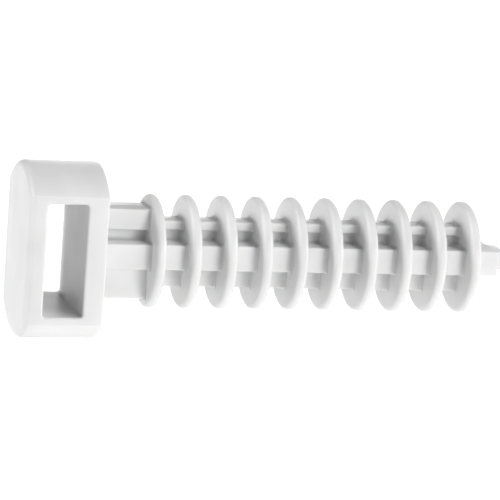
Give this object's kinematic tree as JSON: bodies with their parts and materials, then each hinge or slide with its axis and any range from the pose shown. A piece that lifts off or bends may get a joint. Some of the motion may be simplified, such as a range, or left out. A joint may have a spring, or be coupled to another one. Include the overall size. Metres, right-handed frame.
{
  "type": "wall anchor",
  "caption": "Push-in wall anchor for cable ties: a slotted round head with flats, a ribbed neck and spine, and a row of gripping disc fins.",
  "frame": {"origin": "centre of the head's face that bears on the wall, on the shank's axis", "axes": "+X along the shank into the wall, +Z along the upright tie slot's long side, and the slot runs through the head along Y"},
  "size_m": [0.0416, 0.01, 0.0146],
  "materials": {
    "nylon": "satin"
  },
  "bodies": {
    "root": {"head": "nylon", "neck": "nylon", "spine": "nylon", "tip": "nylon", "fin_01": "nylon", "fin_02": "nylon", "fin_03": "nylon", "fin_04": "nylon", "fin_05": "nylon", "fin_06": "nylon", "fin_07": "nylon", "fin_08": "nylon", "fin_09": "nylon", "fin_10": "nylon"}
  },
  "joints": []
}
